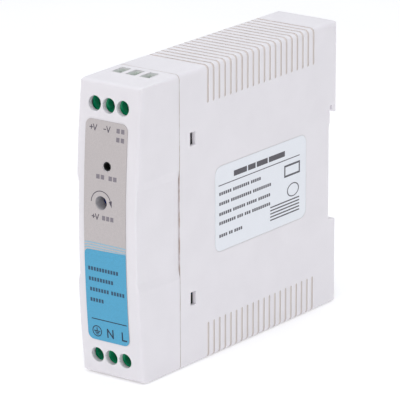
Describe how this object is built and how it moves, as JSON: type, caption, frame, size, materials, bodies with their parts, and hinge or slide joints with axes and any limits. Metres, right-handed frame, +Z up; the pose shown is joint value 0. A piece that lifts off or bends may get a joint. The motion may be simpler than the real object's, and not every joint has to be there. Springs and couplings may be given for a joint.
{
  "type": "din rail power supply",
  "caption": "Slim white rail-mounted power supply: grooved sleeve housing, bowed snap-in front cover, screw terminals at both ends, adjuster, indicator and sprung rail latch.",
  "frame": {"origin": "middle of the base, at the height of the flat bottom face", "axes": "+X across the case along the rail, +Y from the front cover to the rail, +Z up"},
  "size_m": [0.0226, 0.1, 0.09],
  "materials": {
    "case_plastic": "fine satin moulded",
    "front_sticker": "satin printed film",
    "side_sticker": "smooth printed label",
    "latch_plastic": "fine satin moulded",
    "spring_steel": "drawn wire",
    "board_laminate": "solder mask over glass laminate",
    "insulation_film": "translucent film",
    "solder": "bright solder",
    "terminal_plastic": "moulded nylon",
    "tinned_metal": "tin plated",
    "screw_steel": "zinc plated",
    "led_lens": "tinted clear resin",
    "black_plastic": "moulded nylon",
    "trimmer_plastic": "moulded",
    "rotor_plastic": "moulded",
    "gold_pins": "gold flash",
    "fuse_ceramic": "unglazed ceramic",
    "thermistor_coat": "dipped coating",
    "varistor_coat": "dipped epoxy",
    "yellow_box": "moulded box",
    "red_box": "moulded box",
    "ferrite": "sintered ferrite",
    "enamelled_wire": "enamelled copper",
    "epoxy_package": "moulded epoxy",
    "can_sleeve": "shrink sleeve",
    "winding_tape": "polyester tape",
    "heatsink_metal": "bare plate",
    "coupler_plastic": "moulded",
    "disc_blue": "dipped epoxy",
    "resistor_blue": "coated",
    "resistor_tan": "coated"
  },
  "bodies": {
    "case": {"housing": "case_plastic", "front_cover": "case_plastic", "front_label": "front_sticker", "side_label": "side_sticker", "latch_spring": "spring_steel", "terminal_board": "board_laminate", "main_board": "board_laminate", "insulation_sheet": "insulation_film", "solder_joints": "solder", "terminal_block_top": "terminal_plastic", "terminal_block_bottom": "terminal_plastic", "contact_bars_top": "tinned_metal", "contact_bars_bottom": "tinned_metal", "indicator_led": "led_lens", "led_bezel": "black_plastic", "led_spacer": "black_plastic", "trimmer_body": "trimmer_plastic", "trimmer_riser": "black_plastic", "link_headers": "black_plastic", "link_pins": "gold_pins", "fuse_tube": "fuse_ceramic", "fuse_caps": "tinned_metal", "inrush_thermistor": "thermistor_coat", "surge_varistor": "varistor_coat", "line_capacitor": "yellow_box", "choke_core": "ferrite", "choke_windings": "enamelled_wire", "bridge_rectifier": "epoxy_package", "bulk_capacitor": "can_sleeve", "transformer_core": "ferrite", "transformer_bobbin": "black_plastic", "transformer_winding": "winding_tape", "switching_transistor": "epoxy_package", "primary_heatsink": "heatsink_metal", "output_diode": "epoxy_package", "secondary_heatsink": "heatsink_metal", "heatsink_fasteners": "screw_steel", "control_chip": "epoxy_package", "optocoupler": "coupler_plastic", "safety_capacitor": "disc_blue", "output_capacitors": "can_sleeve", "output_inductor": "ferrite", "bias_capacitor": "can_sleeve", "film_capacitor": "red_box", "power_resistor": "resistor_blue", "small_resistors": "resistor_tan"},
    "latch": {"din_latch": "latch_plastic"},
    "trimmer": {"trimmer_rotor": "rotor_plastic"},
    "screw_top_1": {"terminal_screw_top_1": "screw_steel"},
    "cage_top_1": {"clamp_cage_top_1": "tinned_metal"},
    "screw_top_2": {"terminal_screw_top_2": "screw_steel"},
    "cage_top_2": {"clamp_cage_top_2": "tinned_metal"},
    "screw_top_3": {"terminal_screw_top_3": "screw_steel"},
    "cage_top_3": {"clamp_cage_top_3": "tinned_metal"},
    "screw_bottom_1": {"terminal_screw_bottom_1": "screw_steel"},
    "cage_bottom_1": {"clamp_cage_bottom_1": "tinned_metal"},
    "screw_bottom_2": {"terminal_screw_bottom_2": "screw_steel"},
    "cage_bottom_2": {"clamp_cage_bottom_2": "tinned_metal"},
    "screw_bottom_3": {"terminal_screw_bottom_3": "screw_steel"},
    "cage_bottom_3": {"clamp_cage_bottom_3": "tinned_metal"}
  },
  "joints": [
    {"name": "latch_slide", "type": "slide", "parent": "case", "child": "latch", "axis": [0, 0, -1], "range_m": [0, 0.003], "stiffness_N_per_m": 400, "springref_m": -0.004, "deforming": ["latch_spring"]},
    {"name": "trimmer_turn", "type": "hinge", "parent": "case", "child": "trimmer", "pos_m": [-0.00225, -0.044, 0.05394], "axis": [0, 1, 0], "range_deg": [-130, 130]},
    {"name": "screw_top_1_turn", "type": "hinge", "parent": "case", "child": "screw_top_1", "pos_m": [-0.00573, -0.04, 0.0828], "axis": [0, 1, 0], "range_deg": [0, 2160]},
    {"name": "cage_top_1_rise", "type": "slide", "parent": "case", "child": "cage_top_1", "axis": [0, -1, 0], "range_m": [0, 0.003]},
    {"name": "screw_top_2_turn", "type": "hinge", "parent": "case", "child": "screw_top_2", "pos_m": [-0.00065, -0.04, 0.0828], "axis": [0, 1, 0], "range_deg": [0, 2160]},
    {"name": "cage_top_2_rise", "type": "slide", "parent": "case", "child": "cage_top_2", "axis": [0, -1, 0], "range_m": [0, 0.003]},
    {"name": "screw_top_3_turn", "type": "hinge", "parent": "case", "child": "screw_top_3", "pos_m": [0.00443, -0.04, 0.0828], "axis": [0, 1, 0], "range_deg": [0, 2160]},
    {"name": "cage_top_3_rise", "type": "slide", "parent": "case", "child": "cage_top_3", "axis": [0, -1, 0], "range_m": [0, 0.003]},
    {"name": "screw_bottom_1_turn", "type": "hinge", "parent": "case", "child": "screw_bottom_1", "pos_m": [-0.00573, -0.04, 0.0065], "axis": [0, 1, 0], "range_deg": [0, 2160]},
    {"name": "cage_bottom_1_rise", "type": "slide", "parent": "case", "child": "cage_bottom_1", "axis": [0, -1, 0], "range_m": [0, 0.003]},
    {"name": "screw_bottom_2_turn", "type": "hinge", "parent": "case", "child": "screw_bottom_2", "pos_m": [-0.00065, -0.04, 0.0065], "axis": [0, 1, 0], "range_deg": [0, 2160]},
    {"name": "cage_bottom_2_rise", "type": "slide", "parent": "case", "child": "cage_bottom_2", "axis": [0, -1, 0], "range_m": [0, 0.003]},
    {"name": "screw_bottom_3_turn", "type": "hinge", "parent": "case", "child": "screw_bottom_3", "pos_m": [0.00443, -0.04, 0.0065], "axis": [0, 1, 0], "range_deg": [0, 2160]},
    {"name": "cage_bottom_3_rise", "type": "slide", "parent": "case", "child": "cage_bottom_3", "axis": [0, -1, 0], "range_m": [0, 0.003]}
  ],
  "couplings": [
    {"joint": "screw_top_1_turn", "follows": "cage_top_1_rise", "rad_per_m": 12566},
    {"joint": "screw_top_2_turn", "follows": "cage_top_2_rise", "rad_per_m": 12566},
    {"joint": "screw_top_3_turn", "follows": "cage_top_3_rise", "rad_per_m": 12566},
    {"joint": "screw_bottom_1_turn", "follows": "cage_bottom_1_rise", "rad_per_m": 12566},
    {"joint": "screw_bottom_2_turn", "follows": "cage_bottom_2_rise", "rad_per_m": 12566},
    {"joint": "screw_bottom_3_turn", "follows": "cage_bottom_3_rise", "rad_per_m": 12566}
  ]
}
